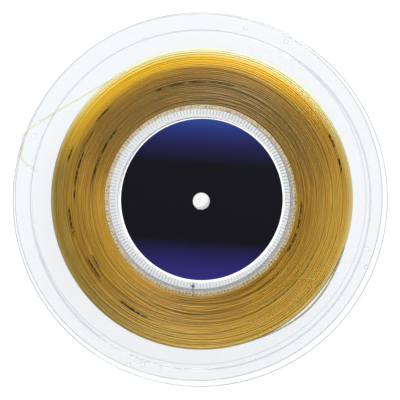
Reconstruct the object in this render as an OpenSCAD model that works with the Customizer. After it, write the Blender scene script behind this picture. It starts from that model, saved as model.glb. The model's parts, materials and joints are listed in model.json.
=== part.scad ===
// Reel of racket string: two clear flanges pressed onto a drum, with a full winding between them.
// The reel lies on the rim of its rear flange. +Z is the reel's axis and points out of the front flange.
// The origin is the centre of the plane that the rear rim rests on. All sizes are in millimetres.

/* [Flanges] */
// Outer diameter of both flanges
flange_d = 256; // [236:1:310]
// Clear width between the two webs
winding_w = 18.6; // [15:0.1:24]
// Thickness of the web and of the rim band
plate_t = 2; // [1.6:0.1:3]
// How far the rim band stands proud of the web
rim_step = 1.2; // [0.6:0.1:2.4]
// Radial width of the rim band
rim_band = 11; // [8:0.5:14]
// Radial width of the slope between the web and the rim band
step_run = 1.6; // [0.8:0.1:3]
// Rounding of the outer edge
edge_round = 0.8; // [0.2:0.1:0.8]

/* [Anchor holes] */
// Diameter of the holes that hold the string's end
anchor_d = 2.6; // [1.8:0.1:4]
// Distance from the outer edge to the centres of the holes
anchor_inset = 5.3; // [3:0.1:7]
// Number of holes in each flange
anchor_count = 4; // [2:1:4]
// Angle from one hole to the next
anchor_pitch = 92; // [60:1:92]
// Angle of the first hole of the front flange
anchor_first = 62; // [0:1:90]
// Angle by which the turned-over rear flange is set
rear_turn = 137; // [0:1:359]

/* [Hub] */
// Outer diameter of the drum
drum_d = 131.2; // [110:0.1:150]
// Wall of the drum
drum_wall = 2.8; // [1.2:0.1:3]
// Diameter of the spindle bore
bore_d = 11.4; // [8:0.1:16]
// Wall of the spindle boss
boss_wall = 2.4; // [1.5:0.1:4]
// Depth of the ribbed collar that carries the drum
collar_h = 4; // [2:0.1:6]
// Wall of the collar below its ribs
collar_wall = 1; // [0.8:0.1:2]
// Radial height of the collar's ribs
rib_h = 4; // [1:0.1:4]
// Number of ribs on each collar
rib_count = 168; // [40:1:180]
// Share of the rib pitch that a rib's crest takes
crest_share = 0.5; // [0.3:0.01:0.7]

/* [Labels] */
// Diameter of the labels
label_d = 112.8; // [80:0.1:114]
// Thickness of the labels
label_t = 0.2; // [0.1:0.05:0.4]
// How far the labels are stuck off centre
label_shift = 0.8; // [0:0.1:1.2]
// Angle of that shift on the front label
label_shift_angle = 35; // [0:1:359]

/* [String] */
// Diameter of the string
string_d = 1.3; // [1.1:0.05:1.6]
// Outer diameter of the full winding
wound_d = 205.2; // [170:0.1:206]
// Least gap between the turns of the outer layer
turn_gap = 0.45; // [0.42:0.01:1]
// Angle at which the string leaves the winding
leave_angle = 120.2; // [90:0.1:150]
// Diameter of the hole in the drum for the string's first end
lead_hole_d = 2; // [1.6:0.1:3]
// Angle of that hole
lead_angle = 265; // [180:1:359]
// Diameter of the stopper knot on the first end
knot_d = 3.6; // [3.2:0.1:5]
// Length of string left past the knot
knot_tail = 1.6; // [0.5:0.1:3]

/* [Fits] */
// Gap between the crests of the ribs and the drum
rib_gap = 0.1; // [0.05:0.05:0.3]
// Gap between the string and the plastic
wind_gap = 0.2; // [0.1:0.05:0.3]
// Gap between the outer layer and the pack below it
layer_gap = 0.1; // [0.05:0.05:0.3]
// Gap between the last turn of the outer layer and the front web
last_gap = 0.45; // [0.2:0.05:1]
// Gap between the label and the edge of the bore
label_gap = 0.3; // [0.2:0.05:0.5]

/* [Hidden] */
$fn = 180;
flange_r = flange_d / 2;
rim_r = flange_r - rim_band;
step_r = rim_r - step_run;
anchor_r = flange_r - anchor_inset;
drum_r = drum_d / 2;
drum_in_r = drum_r - drum_wall;
bore_r = bore_d / 2;
crest_r = drum_in_r - rib_gap;
root_r = crest_r - rib_h;
collar_r = root_r - collar_wall;
string_r = string_d / 2;
edge_r = min(edge_round, 0.45 * plate_t);
// Flats that each rounded corner of a flange's edge is made of.
edge_steps = 2;

// Heights of the inner faces of the two webs, and of the middle between them.
rear_web_z = rim_step + plate_t;
front_web_z = rear_web_z + winding_w;
middle_z = (rear_web_z + front_web_z) / 2;

// Facets of the swept string: rings in each turn, and sides of the turns and of the tail.
turn_rings = 24;
turn_sides = 6;
tail_sides = 8;

// The outer layer: radius of the string's centreline and height of its first and last turn.
turn_r = wound_d / 2 - string_r;
turn_low_z = rear_web_z + wind_gap + string_r;
turn_high_z = front_web_z - last_gap - string_r;
// As many half turns as fit side by side with at least the gap between them.
outer_turns = floor(2 * (turn_high_z - turn_low_z) / (string_d + turn_gap)) / 2;
turn_pitch = (turn_high_z - turn_low_z) / outer_turns;
first_angle = leave_angle - 360 * outer_turns;
// The pack ends under the lowest points of the many-sided turns.
pack_r = turn_r * cos(180 / turn_rings) - string_r - layer_gap;
// Angle over which the string rises out of the pack before the first turn.
rise_angle = 8;

// The string's free end, point by point: out of the winding, up through the anchor hole,
// over the edge of the front flange and back in between the flanges.
tail_route = [
    [-51.3, 88.1, 20.7], [-52.6, 87.4, 20.7], [-58.2, 84.1, 20.7], [-65.1, 80.1, 20.7],
    [-72.0, 76.0, 20.7], [-78.9, 72.0, 20.7], [-85.9, 68.0, 20.7], [-92.8, 64.0, 20.7],
    [-99.7, 60.0, 20.9], [-104.0, 57.4, 21.1], [-107.7, 55.3, 21.2], [-108.4, 54.9, 21.35],
    [-109.0, 54.5, 21.7], [-109.5, 54.2, 22.25], [-109.9, 54.0, 22.95], [-110.3, 53.8, 24.0],
    [-110.6, 53.5, 25.05], [-110.95, 53.2, 25.75], [-111.45, 52.85, 26.3], [-112.05, 52.35, 26.65],
    [-112.8, 51.8, 26.8], [-114.6, 50.3, 26.6], [-116.6, 48.6, 26.2], [-118.2, 47.3, 25.9],
    [-119.5, 46.3, 25.5], [-120.5, 45.2, 24.9], [-121.1, 44.1, 24.0], [-121.3, 42.9, 23.1],
    [-121.2, 41.6, 22.3], [-121.1, 39.9, 21.9], [-121.3, 37.0, 21.7], [-121.7, 33.8, 21.5],
    [-121.8, 30.8, 21.3], [-120.9, 28.0, 21.0], [-118.7, 25.5, 20.6], [-115.3, 23.0, 20.0],
    [-111.0, 20.2, 19.2]
];

// ---- Swept string ----

function unit(v) = v / norm(v);
function heading(path, i) = unit(path[min(i + 1, len(path) - 1)] - path[max(i - 1, 0)]);
function ring(centre, along, r, sides) =
    let (across = unit(cross([0, 0, 1], along)), upward = cross(along, across))
    [for (k = [0:sides - 1])
        centre + r * (cos(360 * k / sides) * across + sin(360 * k / sides) * upward)];

// A closed tube of triangles along a path, with a square end at each end of it.
module swept_string(path, r, sides) {
    rings = len(path);
    last = (rings - 1) * sides;
    points = [for (i = [0:rings - 1]) each ring(path[i], heading(path, i), r, sides)];
    walls = [for (i = [0:rings - 2], k = [0:sides - 1])
        let (a = i * sides + k, b = i * sides + (k + 1) % sides)
        each [[a, a + sides, b], [b, a + sides, b + sides]]];
    start_cap = [for (k = [1:sides - 2]) [0, k, k + 1]];
    end_cap = [for (k = [1:sides - 2]) [last, last + k + 1, last + k]];
    polyhedron(points = points, faces = concat(walls, start_cap, end_cap));
}

// Centreline of the outer layer, with a straight stretch of one diameter at each end.
function on_turn(angle, z) = [turn_r * cos(angle), turn_r * sin(angle), z];
function turn_heading(angle) = [-sin(angle), cos(angle), 0];
turn_steps = outer_turns * turn_rings;
turn_start = on_turn(first_angle, turn_low_z);
turn_end = on_turn(leave_angle, turn_high_z);
turn_path = concat(
    [turn_start, turn_start + string_d * turn_heading(first_angle)],
    [for (i = [1:turn_steps - 1])
        on_turn(first_angle + i * 360 / turn_rings, turn_low_z + turn_pitch * i / turn_rings)],
    [turn_end - string_d * turn_heading(leave_angle), turn_end]
);

// Least gap of a wound path to itself, on points that lie at least half a turn apart.
function least_gap(path, apart) = min([for (i = [0:len(path) - 1 - apart])
    for (j = [i + apart:len(path) - 1]) norm(path[i] - path[j])]) - string_d;
echo(outer_layer_least_gap = least_gap(turn_path, turn_rings / 2));

// ---- Flanges ----

// Points of a quarter circle about a centre in the profile plane.
function quarter(centre, r, from) = [for (k = [0:edge_steps])
    let (a = from + 90 * k / edge_steps) centre + r * [cos(a), sin(a)]];

// Half section of the flange: x is the radius, y is the height above the web's inner face.
module flange_section() {
    edge_in = [flange_r - edge_r, rim_step + edge_r];
    edge_out = [flange_r - edge_r, rim_step + plate_t - edge_r];
    polygon(concat(
        [[bore_r, 0], [step_r, 0], [rim_r, rim_step]],
        quarter(edge_in, edge_r, -90),
        quarter(edge_out, edge_r, 0),
        [[rim_r, rim_step + plate_t], [step_r, plate_t], [bore_r, plate_t]]
    ));
}

// Outline of the ribbed collar, one valley and one flat crest after the other.
function around(r, angle) = [r * cos(angle), r * sin(angle)];
rib_pitch = 360 / rib_count;
crest_half = rib_pitch * crest_share / 2;
collar_outline = [for (i = [0:rib_count - 1]) let (a = i * rib_pitch) each [
    around(root_r, a - rib_pitch / 2), around(crest_r, a - crest_half),
    around(crest_r, a + crest_half)]];

// A flange with its web's inner face on z = 0 and its outer side up.
module flange() {
    difference() {
        rotate_extrude() flange_section();
        for (i = [0:anchor_count - 1])
            rotate([0, 0, anchor_first + i * anchor_pitch])
                translate([anchor_r, 0, 0])
                    cylinder(d = anchor_d, h = 3 * (plate_t + rim_step), center = true, $fn = 32);
    }
    difference() {
        translate([0, 0, -winding_w / 2]) cylinder(r = bore_r + boss_wall, h = winding_w / 2);
        translate([0, 0, -winding_w]) cylinder(r = bore_r, h = 2 * winding_w);
    }
    difference() {
        translate([0, 0, -collar_h]) linear_extrude(collar_h) polygon(collar_outline);
        translate([0, 0, -2 * collar_h]) cylinder(r = collar_r, h = 3 * collar_h);
    }
}

module front_flange() {
    color([0.88, 0.91, 0.95, 0.5]) translate([0, 0, front_web_z]) flange();
}

module rear_flange() {
    color([0.82, 0.86, 0.92, 0.5])
        translate([0, 0, rear_web_z]) rotate([0, 0, rear_turn]) rotate([180, 0, 0]) flange();
}

// ---- Hub ----

// Lays a shape that points along +Z along the radius at the lead hole, from the axis outwards.
module on_lead() {
    translate([0, 0, middle_z]) rotate([0, 0, lead_angle]) rotate([0, 90, 0]) children();
}

module hub_drum() {
    color([0.93, 0.94, 0.96])
        difference() {
            translate([0, 0, rear_web_z]) cylinder(r = drum_r, h = winding_w);
            translate([0, 0, rear_web_z - 1]) cylinder(r = drum_in_r, h = winding_w + 2);
            on_lead() cylinder(d = lead_hole_d, h = flange_r, $fn = 32);
        }
}

// ---- Labels ----

// A label with its back on z = 0: the disc is off centre, its hole is on the reel's axis.
module label() {
    difference() {
        rotate([0, 0, label_shift_angle]) translate([label_shift, 0, 0]) cylinder(d = label_d, h = label_t);
        translate([0, 0, -label_t]) cylinder(r = bore_r + label_gap, h = 3 * label_t);
    }
}

module front_label() {
    color([0.07, 0.07, 0.14]) translate([0, 0, front_web_z + plate_t]) label();
}

module rear_label() {
    color([0.07, 0.07, 0.14]) translate([0, 0, rear_web_z - plate_t - label_t]) label();
}

// ---- String ----

// The wound string below the outer layer, and the short rise from which the outer layer starts.
module string_pack() {
    color([0.80, 0.58, 0.16]) {
        difference() {
            translate([0, 0, rear_web_z + wind_gap]) cylinder(r = pack_r, h = winding_w - 2 * wind_gap);
            cylinder(r = drum_r + wind_gap, h = 2 * front_web_z);
        }
        translate([0, 0, turn_low_z])
            rotate([0, 0, first_angle - rise_angle])
                rotate_extrude(angle = rise_angle) {
                    translate([turn_r, 0]) circle(r = string_r, $fn = 24);
                    translate([pack_r - string_r, -string_r]) square([turn_r - pack_r + string_r, string_d]);
                }
    }
}

module string_outer_turns() {
    color([0.90, 0.68, 0.20]) swept_string(turn_path, string_r, turn_sides);
}

module string_tail() {
    color([0.86, 0.72, 0.34]) swept_string(tail_route, string_r, tail_sides);
}

// The first end: from the pack through the drum, with a knot that bears on the drum's inner wall.
module string_inner_end() {
    knot_h = knot_d * 0.75;
    knot_in = drum_in_r - wind_gap - knot_h;
    string_in = knot_in - knot_tail;
    // The end's flat face just reaches the pack's round inner surface at its corners.
    string_out = sqrt(pow(drum_r + wind_gap, 2) - pow(string_r, 2));
    color([0.86, 0.66, 0.24])
        on_lead() {
            translate([0, 0, string_in]) cylinder(r = string_r, h = string_out - string_in, $fn = 24);
            translate([0, 0, knot_in]) cylinder(d = knot_d, h = knot_h);
        }
}

front_flange();
rear_flange();
hub_drum();
front_label();
rear_label();
string_pack();
string_outer_turns();
string_tail();
string_inner_end();
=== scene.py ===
"""Looks of the string reel: two clear flanges on a ribbed hub, full of amber racket string."""
import json
import math

import bpy
import numpy as np
from mathutils import Matrix, Vector


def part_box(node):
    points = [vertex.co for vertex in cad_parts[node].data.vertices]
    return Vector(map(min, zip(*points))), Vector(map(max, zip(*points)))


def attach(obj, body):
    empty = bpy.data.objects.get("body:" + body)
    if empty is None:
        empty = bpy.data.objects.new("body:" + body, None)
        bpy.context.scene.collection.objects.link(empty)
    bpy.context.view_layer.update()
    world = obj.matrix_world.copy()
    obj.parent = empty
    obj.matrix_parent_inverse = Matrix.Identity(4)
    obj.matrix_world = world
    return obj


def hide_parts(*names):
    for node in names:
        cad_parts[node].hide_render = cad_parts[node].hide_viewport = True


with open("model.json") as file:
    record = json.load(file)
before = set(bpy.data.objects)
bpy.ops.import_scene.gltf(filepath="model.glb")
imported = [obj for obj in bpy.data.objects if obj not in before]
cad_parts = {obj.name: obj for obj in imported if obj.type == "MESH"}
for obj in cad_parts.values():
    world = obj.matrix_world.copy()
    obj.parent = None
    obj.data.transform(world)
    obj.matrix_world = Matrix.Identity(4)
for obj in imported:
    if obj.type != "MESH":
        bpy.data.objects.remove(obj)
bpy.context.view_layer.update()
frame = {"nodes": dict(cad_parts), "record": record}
MM = 0.001
BODY = "root"

# ---- Sizes read from the frame ----

_, flange_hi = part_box("front_flange")
drum_lo, drum_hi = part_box("hub_drum")
label_lo, label_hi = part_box("front_label")
pack_lo, pack_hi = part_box("string_pack")
turns_lo, turns_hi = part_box("string_outer_turns")
FLANGE_R = flange_hi.x
RIM_TOP_Z = flange_hi.z
WEB_IN_Z = drum_hi.z
REAR_WEB_IN_Z = drum_lo.z
WEB_OUT_Z = label_lo.z
MIDDLE_Z = (WEB_IN_Z + REAR_WEB_IN_Z) / 2
PLATE_T = WEB_OUT_Z - WEB_IN_Z
RIM_STEP = RIM_TOP_Z - WEB_OUT_Z
DRUM_R = drum_hi.x
WOUND_R = turns_hi.y
LABEL_MIDDLE = (label_lo + label_hi) / 2
BORE_R = next(m for m in frame["record"]["mounts"] if m["kind"] == "bore")["dims"]["r_mm"] * MM

# ---- Sizes that the frame's boxes don't give, as the construction has them ----

RIM_R = FLANGE_R - 11 * MM
STEP_R = RIM_R - 1.6 * MM
EDGE_ROUND = 0.8 * MM
ANCHOR_R = FLANGE_R - 5.3 * MM
ANCHOR_HOLE_R = 1.3 * MM
FRONT_ANCHORS = [62, 154, 246, 338]
REAR_ANCHORS = [75, 343, 251, 159]
BOSS_R = BORE_R + 2.4 * MM
DRUM_IN_R = DRUM_R - 2.8 * MM
CREST_R = DRUM_IN_R - 0.1 * MM
ROOT_R = CREST_R - 4 * MM
COLLAR_IN_R = ROOT_R - 1 * MM
COLLAR_H = 4 * MM
RIBS = 168
SLOT_SHARE = 0.2
PRINT_R = 55.2 * MM
# How far the middle of the print lies from the middle of the front label.
PRINT_SHIFT = (-0.16 * MM, 0.53 * MM)
BEAD_R = 56.9 * MM
BEAD_H = 0.05 * MM
# How far the drum's ends and the collars stay clear of the webs.
WEB_GAP = 0.03 * MM
LEAD_ANGLE = 265
STRING_R = 0.65 * MM
TURN_R = WOUND_R - STRING_R
# Where the free end leaves the winding.
LEAVE_ANGLE = 120.2
LEAVE_Z = 20.7 * MM
FRONT_TOP_Z = pack_hi.z - STRING_R
REAR_LOW_Z = pack_lo.z + STRING_R


def link(obj):
    bpy.context.scene.collection.objects.link(obj)
    return obj


def around(radius, degrees):
    return radius * math.cos(math.radians(degrees)), radius * math.sin(math.radians(degrees))


# ---- Camera ----

CAMERA_FROM = Vector((-0.056, 0.085, 1.115))
CAMERA_AT = Vector((-0.00095, 0.00089, 0.025))
LENS_MM = 144.8


def add_camera():
    data = bpy.data.cameras.new("camera")
    data.lens = LENS_MM
    data.sensor_width = 36
    camera = link(bpy.data.objects.new("camera", data))
    back = (CAMERA_FROM - CAMERA_AT).normalized()
    right = Vector((0, 1, 0)).cross(back).normalized()
    turn = Matrix((right, back.cross(right), back)).transposed().to_4x4()
    camera.matrix_world = Matrix.Translation(CAMERA_FROM) @ turn
    bpy.context.scene.camera = camera


add_camera()

# ---- Materials ----


class Nodes:
    """A material's or the world's node tree, with short calls to add and link nodes."""

    def __init__(self, owner):
        owner.use_nodes = True
        self.tree = owner.node_tree
        self.tree.nodes.clear()

    def add(self, kind, settings=None, **inputs):
        """A new node. An input goes by its name, with "_" for a space, or by its number, such as in1."""
        node = self.tree.nodes.new(kind)
        for key, value in (settings or {}).items():
            setattr(node, key, value)
        for key, value in inputs.items():
            numbered = key.startswith("in") and key[2:].isdigit()
            self.put(node.inputs[int(key[2:]) if numbered else key.replace("_", " ")], value)
        return node

    def put(self, socket, value):
        """Links a node or a socket to an input, or sets the input to a plain value."""
        if isinstance(value, bpy.types.Node):
            value = value.outputs[0]
        if isinstance(value, bpy.types.NodeSocket):
            self.tree.links.new(value, socket)
        else:
            socket.default_value = value

    def math(self, operation, a, b=0.0):
        return self.add("ShaderNodeMath", {"operation": operation}, in0=a, in1=b).outputs[0]

    def vector(self, operation, a, b=(0, 0, 0)):
        node = self.add("ShaderNodeVectorMath", {"operation": operation}, in0=a, in1=b)
        return node.outputs["Value" if operation in ("LENGTH", "DOT_PRODUCT") else "Vector"]

    def flat(self, place):
        """The same place at height 0."""
        return self.vector("MULTIPLY", place, (1, 1, 0))

    def radius(self, place):
        """Distance from the Z axis."""
        return self.vector("LENGTH", self.flat(place))

    def normal_z(self):
        """How far the surface's normal points along Z."""
        normal = self.add("ShaderNodeNewGeometry").outputs["Normal"]
        return self.add("ShaderNodeSeparateXYZ", Vector=normal).outputs[2]

    def mix(self, factor, a, b, kind="MIX"):
        settings = {"data_type": "RGBA", "blend_type": kind}
        return self.add("ShaderNodeMix", settings, in0=factor, in6=a, in7=b).outputs[2]

    def ramp(self, factor, stops):
        """A colour ramp through stops of (position, colour)."""
        node = self.add("ShaderNodeValToRGB", in0=factor)
        elements = node.color_ramp.elements
        while len(elements) < len(stops):
            elements.new(0.5)
        for element, (position, colour) in zip(elements, stops):
            element.position = position
            element.color = (*colour, 1)
        return node.outputs[0]

    def map_range(self, value, low, high, to_low=0.0, to_high=1.0, kind="LINEAR"):
        """to_low where value is low and to_high where it is high, and held at those outside."""
        node = self.add(
            "ShaderNodeMapRange", {"interpolation_type": kind},
            Value=value, in1=low, in2=high, in3=to_low, in4=to_high,
        )
        return node.outputs[0]

    def soft_step(self, value, low, high):
        """0 at low and 1 at high, with a soft start and end."""
        return self.map_range(value, low, high, kind="SMOOTHSTEP")

    def noise(self, place, scale, detail, settings=None, **more):
        node = self.add("ShaderNodeTexNoise", settings, Vector=place, Scale=scale, Detail=detail, **more)
        return node.outputs[0]

    def bump(self, strength, distance, height):
        return self.add("ShaderNodeBump", Strength=strength, Distance=distance, Height=height)

    def rays(self, *names):
        """1 where a ray is of any of these kinds."""
        path = self.add("ShaderNodeLightPath")
        out = path.outputs[names[0]]
        for name in names[1:]:
            out = self.math("MAXIMUM", out, path.outputs[name])
        return out


def srgb(code):
    """A linear colour from a written one, such as "B8862B"."""
    values = [int(code[i:i + 2], 16) / 255 for i in (0, 2, 4)]
    return tuple(v / 12.92 if v < 0.04045 else ((v + 0.055) / 1.055) ** 2.4 for v in values)


def new_material(name):
    """A material, its nodes, and the place on the object as an output of one of them."""
    material = bpy.data.materials.new(name)
    n = Nodes(material)
    return material, n, n.add("ShaderNodeTexCoord").outputs["Object"]


def clear_plastic(name, painted_step_shade, seed):
    """Clear polystyrene: it bends what is behind it, and lamps shine through it. Its steps, its outer
    edge and faces seen at a grazing angle get painted shade, a greyer colour for the dark lines that
    refraction gives there."""
    material, n, place = new_material(name)
    # Painted shade: steep faces are greyer, most of all the steps, and so are a line along the outer edge and
    # faces seen at a grazing angle.
    painted_slope_shade = n.ramp(n.math("ABSOLUTE", n.normal_z()), [
        (0.0, (0.25, 0.27, 0.29)), (0.35, (0.25, 0.27, 0.29)), (0.5, painted_step_shade), (0.65, painted_step_shade),
        (0.8, (0.80, 0.82, 0.84)), (0.985, (0.97, 0.98, 0.99)),
    ])
    painted_edge_line = n.soft_step(n.radius(place), FLANGE_R - 0.9 * MM, FLANGE_R - 0.4 * MM)
    with_painted_edge_line = n.mix(n.math("MULTIPLY", painted_edge_line, 0.85), painted_slope_shade, (0.40, 0.42, 0.45, 1))
    painted_grazing_shade = n.add("ShaderNodeLayerWeight", Blend=0.3).outputs["Facing"]
    colour = n.mix(n.math("MULTIPLY", painted_grazing_shade, 0.5), with_painted_edge_line, (0.70, 0.73, 0.77, 1))
    smear = n.noise(place, 28.0, 3.0, {"noise_dimensions": "4D"}, W=seed)
    flow = n.noise(place, 55.0, 2.0, {"noise_dimensions": "4D"}, W=seed + 3)
    glass = n.add(
        "ShaderNodeBsdfPrincipled", Base_Color=colour, Normal=n.bump(0.05, 0.0004, flow),
        Roughness=n.map_range(smear, 0.4, 0.75, 0.01, 0.06), IOR=1.5, Transmission_Weight=1.0,
    )
    through = n.add("ShaderNodeBsdfTransparent", Color=(0.97, 0.98, 0.99, 1))
    lamplight = n.rays("Is Shadow Ray", "Is Diffuse Ray")
    both = n.add("ShaderNodeMixShader", in0=lamplight, in1=glass, in2=through)
    n.add("ShaderNodeOutputMaterial", Surface=both)
    return material


def string_material():
    """Glossy amber string: streaks of tone along the turns, broad changes of tone, of which the bright
    top and a warm patch at the lower left are painted light, and dark printed dashes."""
    material, n, place = new_material("amber_string")
    xyz = n.add("ShaderNodeSeparateXYZ", Vector=place)
    radius = n.radius(place)
    way = n.vector("NORMALIZE", n.flat(place))
    way_xyz = n.add("ShaderNodeSeparateXYZ", Vector=way)

    def toward(degrees, low, high):
        """1 around one direction from the axis, 0 away from it. low and high are cosines."""
        return n.soft_step(n.vector("DOT_PRODUCT", way, (*around(1, degrees), 0)), low, high)

    def patch(base, colour, share, ring, direction=None):
        """Mixes a share of a colour in over part of the winding. It grows from the first radius of ring
        to the second, in metres. direction is what toward() takes."""
        part = n.soft_step(radius, *ring)
        if direction:
            part = n.math("MULTIPLY", part, toward(*direction))
        return n.mix(n.math("MULTIPLY", part, share), base, (*srgb(colour), 1))

    streak_at = n.add(
        "ShaderNodeCombineXYZ",
        X=n.math("MULTIPLY", way_xyz.outputs[0], 1.8),
        Y=n.math("MULTIPLY", way_xyz.outputs[1], 1.8),
        Z=n.math("MULTIPLY", n.math("ADD", radius, xyz.outputs[2]), 520.0),
    )
    colour = n.ramp(n.noise(streak_at, 1.0, 3.0, Roughness=0.65), [
        (0.25, srgb("755315")), (0.42, srgb("986F1C")), (0.58, srgb("AB8122")), (0.78, srgb("CBA64F")),
    ])
    # Broad tones: warmer outside at the lower right, browner inside at the top, and greyer outside at
    # the left. The warmer patch inside at the lower left is painted light, for light falling from the left.
    colour = patch(colour, "D0A441", 0.75, (0.070, 0.099), (300, -0.1, 0.8))
    colour = patch(colour, "7C612E", 0.75, (0.098, 0.078), (88, 0.0, 0.75))
    colour = patch(colour, "C4952E", 0.75, (0.086, 0.068), (210, 0.6, 0.95))
    colour = patch(colour, "907830", 0.8, (0.086, 0.101), (190, 0.2, 0.9))
    # Painted light: a bright yellow glow over the top, for light shining through the string there,
    # full on the front face and fainter elsewhere, and a paler painted glow on the outermost front turns
    # at the top. Also the pale outermost turns of the front face.
    front = n.soft_step(xyz.outputs[2], FRONT_TOP_Z - 2 * MM, FRONT_TOP_Z - 0.8 * MM)
    colour = patch(colour, "F3BB26", n.math("MAXIMUM", front, 0.3), (0.087, 0.098), (97, 0.26, 0.88))
    colour = patch(colour, "D4C68B", n.math("MULTIPLY", front, 0.65), (0.0995, 0.1035))
    colour = patch(colour, "F9EDB0", front, (0.0975, 0.103), (88, 0.3, 0.9))
    ink = n.add("ShaderNodeAttribute", {"attribute_name": "ink"}).outputs["Fac"]
    speckle = n.math("GREATER_THAN", n.noise(place, 700.0, 1.0), 0.42)
    inked = n.mix(n.math("MULTIPLY", ink, speckle), colour, (*srgb("291703"), 1))
    body = n.add(
        "ShaderNodeBsdfPrincipled", Base_Color=inked,
        Normal=n.bump(0.12, 0.0001, n.noise(place, 900.0, 2.0)), Roughness=0.32, IOR=1.5,
        Specular_IOR_Level=0.3, Subsurface_Weight=0.5, Subsurface_Radius=(1.0, 0.6, 0.15),
        Subsurface_Scale=0.002,
    )
    n.add("ShaderNodeOutputMaterial", Surface=body)
    return material


def single_string_material(name, tones, clear_share):
    """A single strand of the same string: pale and partly see-through, since little of it tints the
    light."""
    material, n, place = new_material(name)
    mottle = n.noise(place, 400.0, 2.0)
    colour = n.ramp(mottle, [(0.35, srgb(tones[0])), (0.65, srgb(tones[1]))])
    body = n.add(
        "ShaderNodeBsdfPrincipled", Base_Color=colour, Normal=n.bump(0.1, 0.0001, mottle),
        Roughness=0.25, IOR=1.5,
    )
    through = n.add("ShaderNodeBsdfTransparent", Color=(0.965, 0.96, 0.90, 1))
    both = n.add("ShaderNodeMixShader", in0=clear_share, in1=body, in2=through)
    n.add("ShaderNodeOutputMaterial", Surface=both)
    return material


def label_material():
    """Printed label: near-black navy that turns blue at the top and indigo at the bottom, with a white
    border and a white glued face."""
    material, n, place = new_material("navy_label")
    xyz = n.add("ShaderNodeSeparateXYZ", Vector=place)
    upward = n.math("ADD", n.math("MULTIPLY", xyz.outputs[0], 0.06), xyz.outputs[1])
    colour = n.ramp(n.map_range(upward, -0.056, 0.057), [
        (0.0, srgb("292473")), (0.12, srgb("1E1A5C")), (0.26, srgb("070710")), (0.72, srgb("070712")),
        (0.84, srgb("151545")), (0.93, srgb("1B296A")), (1.0, srgb("234188")),
    ])
    grain = n.noise(place, 2500.0, 2.0)
    fine = n.math("MULTIPLY", n.math("SUBTRACT", grain, 0.5), 0.06)
    shade = n.mix(fine, colour, (1, 1, 1, 1), "ADD")
    print_middle = (LABEL_MIDDLE.x + PRINT_SHIFT[0], LABEL_MIDDLE.y + PRINT_SHIFT[1], 0)
    out = n.radius(n.vector("SUBTRACT", place, print_middle))
    side = n.math("SIGN", n.math("SUBTRACT", xyz.outputs[2], MIDDLE_Z))
    outer_face = n.math("GREATER_THAN", n.math("MULTIPLY", n.normal_z(), side), 0.5)
    within = n.soft_step(out, PRINT_R + 0.1 * MM, PRINT_R - 0.1 * MM)
    printed = n.mix(n.math("MULTIPLY", outer_face, within), (*srgb("F6F6F8"), 1), shade)
    paper = n.add(
        "ShaderNodeBsdfPrincipled", Base_Color=printed, Normal=n.bump(0.05, 0.0001, grain),
        Roughness=0.42, Specular_IOR_Level=0.2,
    )
    n.add("ShaderNodeOutputMaterial", Surface=paper)
    return material


def hazy_plastic(name, tones, painted_wall_tone, clear_share, wall_share):
    """Clear plastic in small ribbed or narrow forms: see-through by clear_share on its level faces and by
    wall_share on its upright walls. The walls get a painted tone: painted shade on the ribbed collars, and
    the winding's painted amber light on the drum. The colour is also a little uneven at the spacing of the
    ribs, a painted shading of the ribs."""
    material, n, place = new_material(name)
    cloud = n.noise(place, 900.0, 2.0)
    xyz = n.add("ShaderNodeSeparateXYZ", Vector=place)
    turned = n.math("MULTIPLY", n.math("ARCTAN2", xyz.outputs[1], xyz.outputs[0]), float(RIBS))
    # Painted shade at the spacing of the ribs.
    painted_rib_shade = n.math("ADD", n.math("MULTIPLY", n.math("SINE", turned), 0.1), cloud)
    colour = n.ramp(painted_rib_shade, [(0.35, srgb(tones[0])), (0.6, srgb(tones[1]))])
    # Painted tone on the upright walls: shade on the collars, the winding's amber light on the drum.
    upright = n.soft_step(n.math("ABSOLUTE", n.normal_z()), 0.6, 0.2)
    body = n.add(
        "ShaderNodeBsdfPrincipled", Base_Color=n.mix(upright, colour, (*painted_wall_tone, 1)),
        Normal=n.bump(0.1, 0.0001, cloud), Roughness=0.2, IOR=1.5,
    )
    through = n.add("ShaderNodeBsdfTransparent", Color=(1, 1, 1, 1))
    share = n.map_range(upright, 0.0, 1.0, clear_share, wall_share)
    seen = n.add("ShaderNodeMixShader", in0=share, in1=body, in2=through)
    both = n.add("ShaderNodeMixShader", in0=n.rays("Is Shadow Ray"), in1=seen, in2=through)
    n.add("ShaderNodeOutputMaterial", Surface=both)
    return material


# The second value is the painted shade of the steps, paler on the rear flange.
CLEAR = clear_plastic("clear_flange_plastic", (0.48, 0.50, 0.53), 1.0)
REAR_CLEAR = clear_plastic("clear_rear_flange_plastic", (0.66, 0.68, 0.70), 7.0)
# Painted light: the drum's beige and amber tones stand for the winding's amber light seen in the clear drum.
DRUM_CLEAR = hazy_plastic("hazy_drum_plastic", ("A88648", "E2CF9C"), (0.88, 0.72, 0.42), 0.4, 0.8)
# Painted shade: grey upright walls for the dark lines between the ribs, paler on the front collar.
RIBBED = hazy_plastic("hazy_rib_plastic", ("F0F3F6", "FFFFFF"), (0.45, 0.46, 0.48), 0.98, 0.35)
FRONT_RIBBED = hazy_plastic("clear_rib_plastic", ("F0F3F6", "FFFFFF"), (0.8, 0.81, 0.83), 0.98, 0.93)
STRING = string_material()
PALE_STRING = single_string_material("pale_string", ("E2DCB4", "F2EED6"), 0.8)
LOOSE_STRING = single_string_material("loose_string", ("96906A", "BDB78E"), 0.3)
LABEL = label_material()

# ---- Mesh tools ----

SHARP_DEG = 35
STRING_SIDES = 8


def add_mesh(name, points, faces, material, sharp_deg=SHARP_DEG):
    mesh = bpy.data.meshes.new(name)
    mesh.from_pydata(points.tolist(), [], faces.tolist())
    mesh.validate()
    mesh.shade_smooth()
    if sharp_deg:
        mesh.set_sharp_from_angle(angle=math.radians(sharp_deg))
    mesh.materials.append(material)
    return link(bpy.data.objects.new(name, mesh))


def even_angles(segments):
    return np.arange(segments) * 2 * math.pi / segments


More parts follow.
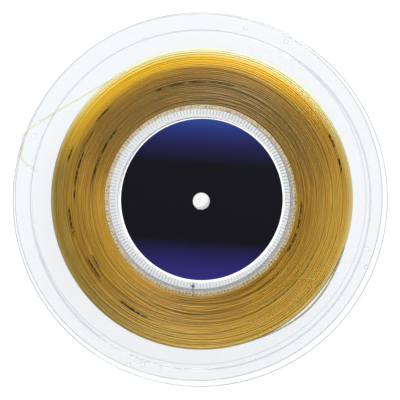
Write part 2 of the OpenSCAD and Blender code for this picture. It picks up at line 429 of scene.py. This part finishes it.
def lathe(name, profile, angles, material):
    """A closed profile of (radius, height) turned about Z. A radius may be an array with one value per
    angle."""
    segments, count = len(angles), len(profile)
    points = np.zeros((segments, count, 3))
    for j, (radius, height) in enumerate(profile):
        points[:, j, 0] = radius * np.cos(angles)
        points[:, j, 1] = radius * np.sin(angles)
        points[:, j, 2] = height
    i, j = np.meshgrid(np.arange(segments), np.arange(count), indexing="ij")
    i_next, j_next = (i + 1) % segments, (j + 1) % count
    here, there = i * count, i_next * count
    faces = np.stack([here + j, there + j, there + j_next, here + j_next], axis=-1)
    return add_mesh(name, points.reshape(-1, 3), faces.reshape(-1, 4), material)


def arc(centre, radius, start_deg, end_deg, steps):
    """Points of an arc in the profile plane."""
    return [
        (centre[0] + radius * math.cos(a), centre[1] + radius * math.sin(a))
        for a in (math.radians(start_deg + (end_deg - start_deg) * k / steps) for k in range(steps + 1))
    ]


def braced(profile):
    """Adds a point near each end of a profile's long stretches, so that smooth shading leaves them flat."""
    near = 0.25 * MM
    out = []
    for start, end in zip(profile, profile[1:] + profile[:1]):
        length = math.dist(start, end)
        out.append(start)
        if length > 4 * near:
            for share in (near / length, 1 - near / length):
                out.append(tuple(a + (b - a) * share for a, b in zip(start, end)))
    return out


def drill(obj, centres, radius, low_z, high_z):
    """Cuts round holes along Z through a plate between two heights, with a chamfer at both ends."""
    sides, flare = 40, 0.4 * MM
    turn = even_angles(sides)
    rings = [
        (radius + 2 * flare, low_z - flare), (radius, low_z + flare),
        (radius, high_z - flare), (radius + 2 * flare, high_z + flare),
    ]
    for x, y in centres:
        points = [(x + r * math.cos(a), y + r * math.sin(a), z) for r, z in rings for a in turn]
        faces = [list(range(sides))[::-1], list(range(3 * sides, 4 * sides))]
        for ring in range(3):
            base, top = ring * sides, (ring + 1) * sides
            for k in range(sides):
                k_next = (k + 1) % sides
                faces.append([base + k, base + k_next, top + k_next, top + k])
        mesh = bpy.data.meshes.new("cutter")
        mesh.from_pydata(points, [], faces)
        cutter = link(bpy.data.objects.new("cutter", mesh))
        cut(obj, cutter)


def cut(obj, cutter):
    """Takes one object's shape away from another, and then the object itself."""
    step = obj.modifiers.new("cut", "BOOLEAN")
    step.operation, step.solver, step.object = "DIFFERENCE", "EXACT", cutter
    graph = bpy.context.evaluated_depsgraph_get()
    mesh = bpy.data.meshes.new_from_object(obj.evaluated_get(graph))
    obj.modifiers.clear()
    obj.data = mesh
    bpy.data.objects.remove(cutter)


def string_skin(path):
    """Points and faces of a string laid along a path, with flat ends."""
    along = np.gradient(path, axis=0)
    along /= np.linalg.norm(along, axis=1, keepdims=True)
    across = np.cross([0, 0, 1], along)
    across /= np.linalg.norm(across, axis=1, keepdims=True)
    upward = np.cross(along, across)
    sides = STRING_SIDES
    turn = even_angles(sides)[None, :, None]
    offsets = np.cos(turn) * across[:, None] + np.sin(turn) * upward[:, None]
    points = (path[:, None] + STRING_R * offsets).reshape(-1, 3)
    i, k = np.meshgrid(np.arange(len(path) - 1), np.arange(sides), indexing="ij")
    k_next = (k + 1) % sides
    here, there = i * sides, (i + 1) * sides
    faces = np.stack([here + k, here + k_next, there + k_next, there + k], axis=-1)
    return points, faces.reshape(-1, 4)


def string_piece(name, paths, material, ink):
    """One object of several strings. ink is 1 at the printed points of the first path and 0 at its others,
    or None where nothing is printed."""
    all_points, all_faces, base = [], [], 0
    for path in paths:
        points, faces = string_skin(path)
        all_points.append(points)
        all_faces.append(faces + base)
        base += len(points)
    obj = add_mesh(name, np.concatenate(all_points), np.concatenate(all_faces), material, 0)
    if ink is not None:
        printed = np.zeros(base, np.float32)
        printed[:len(ink) * STRING_SIDES] = np.repeat(ink, STRING_SIDES)
        obj.data.attributes.new("ink", "FLOAT", "POINT").data.foreach_set("value", printed)
    return obj


# ---- The string's free end ----

TAIL_ROUTE_MM = [
    [-51.3, 88.1, 20.7], [-52.6, 87.4, 20.7], [-58.2, 84.1, 20.7], [-65.1, 80.1, 20.7],
    [-72.0, 76.0, 20.7], [-78.9, 72.0, 20.7], [-85.9, 68.0, 20.7], [-92.8, 64.0, 20.7],
    [-99.7, 60.0, 20.9], [-104.0, 57.4, 21.1], [-107.7, 55.3, 21.2], [-108.4, 54.9, 21.35],
    [-109.0, 54.5, 21.7], [-109.5, 54.2, 22.25], [-109.9, 54.0, 22.95], [-110.3, 53.8, 24.0],
    [-110.6, 53.5, 25.05], [-110.95, 53.2, 25.75], [-111.45, 52.85, 26.3], [-112.05, 52.35, 26.65],
    [-112.8, 51.8, 26.8], [-114.6, 50.3, 26.6], [-116.6, 48.6, 26.2], [-118.2, 47.3, 25.9],
    [-119.5, 46.3, 25.5], [-120.5, 45.2, 24.9], [-121.1, 44.1, 24.0], [-121.3, 42.9, 23.1],
    [-121.2, 41.6, 22.3], [-121.1, 39.9, 21.9], [-121.3, 37.0, 21.7], [-121.7, 33.8, 21.5],
    [-121.8, 30.8, 21.3], [-120.9, 28.0, 21.0], [-118.7, 25.5, 20.6], [-115.3, 23.0, 20.0],
    [-111.0, 20.2, 19.2],
]


def string_curve(name, points, material):
    """A string along a smooth curve through these points."""
    data = bpy.data.curves.new(name, "CURVE")
    data.dimensions = "3D"
    data.bevel_depth = STRING_R
    data.bevel_resolution = 4
    data.resolution_u = 6
    data.use_fill_caps = True
    spline = data.splines.new("BEZIER")
    spline.bezier_points.add(len(points) - 1)
    for knot, point in zip(spline.bezier_points, points):
        knot.co = point
        knot.handle_left_type = knot.handle_right_type = "AUTO"
    data.materials.append(material)
    return link(bpy.data.objects.new(name, data))


def add_free_end():
    points = [tuple(v * MM for v in p) for p in TAIL_ROUTE_MM]
    tail = string_curve("free_end", points, PALE_STRING)
    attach(tail, BODY)
    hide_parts("string_tail")


add_free_end()

# ---- Clear flanges and drum ----

FLANGE_SEGMENTS = 960
DRUM_SEGMENTS = 360
# The step between web and rim band: run from the foot of the step and rise, in metres.
STEP_SHAPE = [
    (-0.3 * MM, 0), (0.2 * MM, 0.08 * RIM_STEP), (0.45 * MM, 0.2 * RIM_STEP), (0.95 * MM, 0.85 * RIM_STEP),
    (1.2 * MM, 0.95 * RIM_STEP), (1.8 * MM, RIM_STEP),
]


def rib_steps():
    """Angles around a flange, and the ribbed collar's radius at each: at its free end, where the draft has
    made the slots between the ribs wider, and at the web."""
    half = SLOT_SHARE / 2
    phases = np.array([0.2, 0.5, 0.8, 1 - half, 1 - half / 2, 1, 1 + half / 2, 1 + half])
    at_free_end = np.array([1, 1, 1, 0, 0, 0, 0, 0])
    at_web = np.array([1, 1, 1, 1, 0, 0, 0, 1])
    angles = (np.arange(RIBS)[:, None] + phases) * 2 * math.pi / RIBS
    rise = CREST_R - ROOT_R
    free_end, web = (np.tile(ROOT_R + rise * on_rib, RIBS) for on_rib in (at_free_end, at_web))
    return angles.ravel(), free_end, web


def collar_profile(free_end, web):
    """Closed profile of the ribbed collar. Heights are from the web's inner face, outwards."""
    chamfer, root = 0.15 * MM, -WEB_GAP
    return [
        (COLLAR_IN_R, root), (COLLAR_IN_R, chamfer - COLLAR_H), (COLLAR_IN_R + chamfer, -COLLAR_H),
        (free_end - chamfer, -COLLAR_H), (free_end, chamfer - COLLAR_H), (web, root),
    ]


def flange_profile():
    """Closed profile of a flange without its collar. Heights are from the web's inner face, outwards."""
    chamfer = 0.2 * MM
    boss_h = (WEB_IN_Z - REAR_WEB_IN_Z) / 2 - 0.02 * MM
    edge_r = FLANGE_R - EDGE_ROUND
    edge_low, edge_high = RIM_STEP + EDGE_ROUND, RIM_STEP + PLATE_T - EDGE_ROUND
    return [
        (BORE_R, PLATE_T - chamfer), (BORE_R, chamfer - boss_h), (BORE_R + chamfer, -boss_h),
        (BOSS_R - chamfer, -boss_h), (BOSS_R, chamfer - boss_h),
        *arc((BOSS_R + 2 * chamfer, -2 * chamfer), 2 * chamfer, 180, 90, 3),
        *((STEP_R + run, rise) for run, rise in STEP_SHAPE),
        *arc((edge_r, edge_low), EDGE_ROUND, -90, 0, 5), *arc((edge_r, edge_high), EDGE_ROUND, 0, 90, 5),
        *((STEP_R + run, PLATE_T + rise) for run, rise in STEP_SHAPE[::-1]),
        (BEAD_R + 4 * BEAD_H, PLATE_T), (BEAD_R + BEAD_H, PLATE_T + BEAD_H),
        (BEAD_R - BEAD_H, PLATE_T + BEAD_H), (BEAD_R - 4 * BEAD_H, PLATE_T),
        (BORE_R + chamfer, PLATE_T),
    ]


def add_flange(side, web_z, outward, anchors, material, ribs_material):
    """A flange and its ribbed collar. web_z is the height of the web's inner face, and outward is 1 or -1."""
    node = side + "_flange"

    def placed(profile):
        """The profile at its height. A flange turned over has it in reverse, so that its faces look out."""
        return [(radius, web_z + outward * height) for radius, height in profile][::outward]

    flange = lathe(
        side + "_clear_flange", placed(braced(flange_profile())), even_angles(FLANGE_SEGMENTS), material,
    )
    rim_z = web_z + outward * (RIM_STEP + PLATE_T / 2)
    centres = [around(ANCHOR_R, a) for a in anchors]
    drill(flange, centres, ANCHOR_HOLE_R, rim_z - PLATE_T / 2, rim_z + PLATE_T / 2)
    flange.data.set_sharp_from_angle(angle=math.radians(SHARP_DEG))
    angles, free_end, web = rib_steps()
    collar = lathe(side + "_ribbed_collar", placed(collar_profile(free_end, web)), angles, ribs_material)
    for piece in (flange, collar):
        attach(piece, BODY)
        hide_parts(node)


def add_drum():
    chamfer = 0.15 * MM
    low, high = REAR_WEB_IN_Z + WEB_GAP, WEB_IN_Z - WEB_GAP
    drum = lathe("clear_drum", braced([
        (DRUM_IN_R + chamfer, low), (DRUM_R - chamfer, low), (DRUM_R, low + chamfer),
        (DRUM_R, high - chamfer), (DRUM_R - chamfer, high), (DRUM_IN_R + chamfer, high),
        (DRUM_IN_R, high - chamfer), (DRUM_IN_R, low + chamfer),
    ]), even_angles(DRUM_SEGMENTS), DRUM_CLEAR)
    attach(drum, BODY)
    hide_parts("hub_drum")


add_flange("front", WEB_IN_Z, 1, FRONT_ANCHORS, CLEAR, FRONT_RIBBED)
add_flange("rear", REAR_WEB_IN_Z, -1, REAR_ANCHORS, REAR_CLEAR, RIBBED)
add_drum()

# ---- Labels ----

for node in ("front_label", "rear_label"):
    label = frame["nodes"][node]
    label.data.materials.clear()
    label.data.materials.append(LABEL)

# ---- Winding ----

STEPS_PER_TURN = 180
CORE_SEGMENTS = 180
INNER_TURN_R = DRUM_R + 0.2 * MM + STRING_R
LAYER_PITCH = 1.16 * MM
STRAY_TURNS = 34
OUTER_TURNS = 13
# Over how many steps a printed stretch of a turn rises to the top of its neighbours.
LIFT_STEPS = 6
# How the winding is out of round at its outer layer: all round, and more toward one side.
BULGE_ANGLE = math.radians(25)
BULGE_OUT = 1.15 * MM
SWELL_OUT = 0.7 * MM


def out_of_round(radius, angle):
    """The winding has grown out of round: more on one side, and the more the further out a turn lies."""
    share = (radius - INNER_TURN_R) / (TURN_R - INNER_TURN_R)
    return radius + share * (SWELL_OUT + BULGE_OUT * np.cos(angle - BULGE_ANGLE))


def wander(angle, rng, waves, size):
    """A smooth random walk along a string, from slow waves whose period is no whole turn."""
    out = np.zeros_like(angle)
    for low, high in waves:
        out += np.sin(angle * rng.uniform(low, high) + rng.uniform(0, 2 * math.pi))
    return size * out / len(waves)


def on_circle(radius, angle, height):
    """Points of a path about the axis."""
    return np.stack([radius * np.cos(angle), radius * np.sin(angle), height], axis=-1)


# Printed dashes on the front turns: radius in mm, first and last angle in degrees.
INK_MARKS = [
    (80.2, 75, 86), (80.2, 88, 96), (80.4, 99, 106), (80.4, 108, 113), (75.6, 139, 145), (75.5, 147, 153),
    (75.3, 155, 170), (88.4, 135, 142), (88.0, 147, 155), (87.0, 157, 172), (87.0, 174, 178),
    (90.0, 183, 195), (87.0, 207, 216), (87.6, 231, 245), (83.0, 204, 214), (68.2, 330, 341),
    (68.9, 344, 360), (96.9, 12, 18), (96.9, 22, 27), (95.2, 158, 163),
]


def ink_on(angle):
    """1 along the stretches of the spiral that lie nearest to the printed dashes."""
    ink = np.zeros_like(angle)
    for radius_mm, start, end in INK_MARKS:
        turn = round((radius_mm * MM - INNER_TURN_R) / LAYER_PITCH - (start + end) / 720)
        low, high = (math.radians(360 * turn + d) for d in (start, end))
        ink[(angle >= low) & (angle <= high)] = 1
    return ink


def face_turns(seed, inward):
    """The spiral of turns that shows on one side face. inward is the way from the web to the pack along Z:
    -1 on the front face, 1 on the rear one."""
    rng = np.random.default_rng(seed)
    turns = (TURN_R - INNER_TURN_R) / LAYER_PITCH
    angle = np.linspace(0, turns * 2 * math.pi, int(turns * STEPS_PER_TURN))
    radius = np.minimum(INNER_TURN_R + LAYER_PITCH * angle / (2 * math.pi), TURN_R - 0.4 * MM)
    radius = radius + wander(angle, rng, [(0.3, 0.6), (0.9, 1.4), (2.1, 3.2)], 0.28 * MM)
    sunk = 0.4 * MM + wander(angle, rng, [(0.2, 0.4), (0.45, 0.55), (0.9, 1.2), (2.5, 3.5)], 0.4 * MM)
    lifted = np.convolve(ink_on(angle), np.hanning(2 * LIFT_STEPS) / LIFT_STEPS, "same")
    sunk = np.clip(sunk, 0, None) * (1 - np.clip(1.6 * lifted, 0, 1))
    web_side_z = FRONT_TOP_Z if inward < 0 else REAR_LOW_Z
    radius = out_of_round(np.clip(radius, INNER_TURN_R, TURN_R), angle)
    return angle, on_circle(radius, angle, web_side_z + inward * sunk)


def stray_turns(seed, inward):
    """Short stretches that lie over the spiral and drift across a few of its turns."""
    rng = np.random.default_rng(seed)
    paths = []
    for _ in range(STRAY_TURNS):
        start, span = rng.uniform(0, 2 * math.pi), rng.uniform(0.5, 1.9)
        first = rng.uniform(INNER_TURN_R + 3 * MM, TURN_R - 3 * MM)
        drift = rng.uniform(-3.2, 3.2) * MM
        share = np.linspace(0, 1, int(span / (2 * math.pi) * STEPS_PER_TURN) + 2)
        radius = np.clip(first + drift * share * share * (3 - 2 * share), INNER_TURN_R, TURN_R)
        sunk = 1.5 * MM * (1 - np.sin(math.pi * share)) ** 2
        web_side_z = FRONT_TOP_Z if inward < 0 else REAR_LOW_Z
        turned = start + span * share
        paths.append(on_circle(out_of_round(radius, turned), turned, web_side_z + inward * sunk))
    return paths


def add_string_piece(name, node, paths, material=STRING, ink=None):
    piece = string_piece(name, paths, material, ink)
    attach(piece, BODY)
    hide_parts(node)


def add_side_faces():
    """The turns that show on the two side faces. Only the front ones are printed."""
    angle, spiral = face_turns(seed=11, inward=-1)
    paths = [spiral, *stray_turns(seed=12, inward=-1)]
    add_string_piece("winding_front_turns", "string_pack", paths, ink=ink_on(angle))
    _, spiral = face_turns(seed=21, inward=1)
    paths = [spiral, *stray_turns(seed=22, inward=1)]
    add_string_piece("winding_rear_turns", "string_pack", paths)


def add_core():
    """What fills the winding behind the turns that show."""
    sink = 0.75 * MM
    low, high = REAR_LOW_Z + sink, FRONT_TOP_Z - sink
    angles = even_angles(CORE_SEGMENTS)
    inner, outer = INNER_TURN_R, out_of_round(TURN_R - 0.6 * MM, angles)
    profile = [(inner, low), (outer, low), (outer, high), (inner, high)]
    core = lathe("winding_core", profile, angles, STRING)
    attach(core, BODY)
    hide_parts("string_pack")


# The loose stretch of the outer layer: its middle, its half width, and how far out it lies there.
LOOSE_ANGLE = math.radians(-44)
LOOSE_HALF_SPAN = math.radians(30)
LOOSE_OUT = 2.4 * MM
# From this share of the way to the middle of the loose stretch, it lies clear of the winding.
LOOSE_SHARE = 0.12


def add_layers():
    """The innermost layer, seen through the drum, and the outermost one, with one loose stretch."""
    rng = np.random.default_rng(31)
    low, high = turns_lo.z + STRING_R, LEAVE_Z
    leave = math.radians(LEAVE_ANGLE)
    angle = np.linspace(leave - OUTER_TURNS * 2 * math.pi, leave, OUTER_TURNS * STEPS_PER_TURN + 1)
    rise = (angle - angle[0]) / (angle[-1] - angle[0])
    inner = on_circle(np.full_like(angle, INNER_TURN_R), angle, low + (high - low) * rise)
    add_string_piece("winding_inner_layer", "string_pack", [inner])
    radius = out_of_round(TURN_R, angle)
    radius = radius + np.clip(wander(angle, rng, [(0.3, 0.6), (1.1, 1.6), (2.2, 3.1)], 0.25 * MM), -1, 0)
    loose = np.clip(1 - np.abs(angle - LOOSE_ANGLE) / LOOSE_HALF_SPAN, 0, 1)
    radius = radius + LOOSE_OUT * np.sin(loose * math.pi / 2) ** 2
    ends = np.clip((angle[-1] - angle) / math.radians(20), 0, 1)
    radius = TURN_R + (radius - TURN_R) * ends
    sway = wander(angle, rng, [(0.4, 0.7), (1.3, 1.9)], 0.2 * MM) * ends
    turns = on_circle(radius, angle, low + (high - low) * rise + sway)
    first, last = np.flatnonzero(loose > LOOSE_SHARE)[[0, -1]]
    add_string_piece("winding_outer_layer", "string_outer_turns", [turns[:first + 1], turns[last:]])
    add_string_piece("loose_turn", "string_outer_turns", [turns[first:last + 1]], LOOSE_STRING)


add_side_faces()
add_core()
add_layers()

# ---- The string's first end ----


def add_first_end():
    """A straight stretch through the drum with an overhand knot inside it."""
    lo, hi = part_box("string_inner_end")
    axis = Vector((*around(1, LEAD_ANGLE), 0))  # outwards along the straight stretch
    side = Vector((-axis.y, axis.x, 0))
    up = Vector((0, 0, 1))
    middle_z = (lo.z + hi.z) / 2
    knot_at = 60 * MM
    loop = (hi.z - lo.z) / 2 - STRING_R
    points = [axis * (DRUM_R + 0.1 * MM), axis * (knot_at + 1.6 * MM)]
    for k in range(25):
        t = math.radians(40 + 320 * k / 24)
        out = loop / 3 * (math.sin(t) + 2 * math.sin(2 * t))
        rise = loop / 3 * (math.cos(t) - 2 * math.cos(2 * t))
        points.append(axis * (knot_at - 0.4 * loop * math.sin(3 * t)) + side * out + up * rise)
    points.append(axis * (knot_at - 2.9 * MM))
    points = [p + up * middle_z for p in points]
    knot = string_curve("inner_end_knot", points, PALE_STRING)
    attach(knot, BODY)
    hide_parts("string_inner_end")


add_first_end()

# ---- Floor, lamps and world ----

FLOOR_HALF = 6
FLOOR_Z = -0.3 * MM
# How much of white the floor gives off of itself where the camera sees it. Through the clear plastic and in
# reflections it gives off all of it.
FLOOR_LIFT = 0.9
# How brightly the surroundings light the object.
WORLD_LIGHT = 0.57


def add_floor():
    material = bpy.data.materials.new("pale_floor")
    n = Nodes(material)
    tone = n.mix(n.rays("Is Camera Ray"), (0.11, 0.11, 0.112, 1), (0.26, 0.26, 0.262, 1))
    matt = n.add("ShaderNodeBsdfDiffuse", Color=tone)
    direct = n.math("MULTIPLY", n.rays("Is Camera Ray"), FLOOR_LIFT)
    through = n.rays("Is Glossy Ray", "Is Transmission Ray")
    lift = n.add("ShaderNodeEmission", Color=(1, 1, 1, 1), Strength=n.math("ADD", direct, through))
    n.add("ShaderNodeOutputMaterial", Surface=n.add("ShaderNodeAddShader", in0=matt, in1=lift))
    mesh = bpy.data.meshes.new("floor")
    signs = ((-1, -1), (1, -1), (1, 1), (-1, 1))
    corners = [(x * FLOOR_HALF, y * FLOOR_HALF, FLOOR_Z) for x, y in signs]
    mesh.from_pydata(corners, [], [(0, 1, 2, 3)])
    mesh.materials.append(material)
    link(bpy.data.objects.new("floor", mesh))


def add_lamp(name, place, size, watts):
    """A square lamp that points at the origin."""
    data = bpy.data.lights.new(name, "AREA")
    data.shape = "SQUARE"
    data.size = size
    data.energy = watts
    lamp = link(bpy.data.objects.new(name, data))
    lamp.location = place
    lamp.rotation_euler = (Vector((0, 0, 0)) - Vector(place)).to_track_quat("-Z", "Y").to_euler()


def set_world():
    """White for the camera, and its own look for reflections, for what shows through clear plastic, and as
    light."""
    world = bpy.data.worlds.new("studio")
    bpy.context.scene.world = world
    n = Nodes(world)
    toward = n.add("ShaderNodeSeparateXYZ", Vector=n.add("ShaderNodeTexCoord").outputs["Generated"])
    x, y, z = toward.outputs
    side = n.math("ADD", n.math("MULTIPLY", x, 0.5), n.math("MULTIPLY", y, 0.86))
    bright = n.ramp(n.soft_step(side, -0.6, 0.5), [(0.0, (0.22, 0.23, 0.24)), (1.0, (0.42, 0.43, 0.44))])
    above = n.mix(n.soft_step(z, 0.05, 0.3), (1, 1, 1, 1), (0.42, 0.43, 0.44, 1))
    overhead = n.soft_step(z, 0.35, 0.8)
    dark = (0.05, 0.05, 0.055, 1)
    mirrored = n.add("ShaderNodeBackground", Color=n.mix(overhead, bright, dark), Strength=1.0)
    beyond = n.add("ShaderNodeBackground", Color=n.mix(overhead, above, dark), Strength=1.0)
    shown = n.add("ShaderNodeBackground", Color=(1, 1, 1, 1), Strength=1.0)
    seen = n.add("ShaderNodeBackground", Color=(1, 1, 1, 1), Strength=WORLD_LIGHT)
    looks = (("Is Glossy Ray", mirrored), ("Is Transmission Ray", beyond), ("Is Camera Ray", shown))
    for kind, look in looks:
        seen = n.add("ShaderNodeMixShader", in0=n.rays(kind), in1=seen, in2=look)
    n.add("ShaderNodeOutputWorld", Surface=seen)


add_floor()
add_lamp("key_softbox", place=(0.4, 1.0, 0.85), size=0.8, watts=21.5)
add_lamp("left_softbox", place=(-1.1, -0.1, 0.7), size=0.6, watts=2.7)
set_world()
bpy.context.scene.view_settings.view_transform = "Standard"
